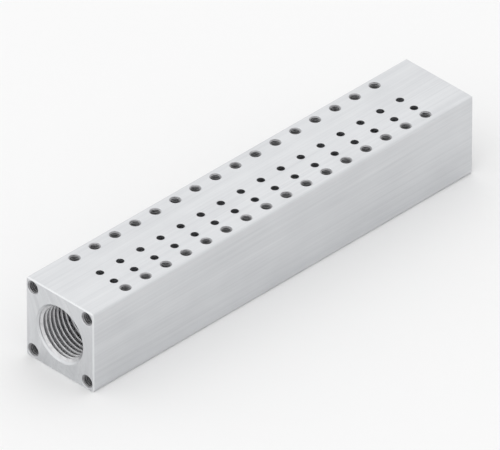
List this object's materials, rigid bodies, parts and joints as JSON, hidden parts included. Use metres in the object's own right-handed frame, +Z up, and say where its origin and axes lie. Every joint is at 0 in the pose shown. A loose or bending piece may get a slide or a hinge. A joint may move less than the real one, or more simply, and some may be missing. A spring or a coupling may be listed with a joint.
{
  "type": "manifold block",
  "caption": "Square aluminium bar bored end to end, with a threaded port and corner screw holes at each end and a row of valve stations drilled and tapped along its top.",
  "frame": {"origin": "middle of the underside, halfway between the two end faces", "axes": "+X along the bar, from the near port to the far one; +Z up, out of the face with the stations; -Y out of the side face that is nearest to the second row of air holes"},
  "size_m": [0.1806, 0.032, 0.032],
  "materials": {
    "anodised_aluminium": "natural anodised, satin, with milled end faces"
  },
  "bodies": {
    "root": {"manifold_block": "anodised_aluminium"}
  },
  "joints": []
}
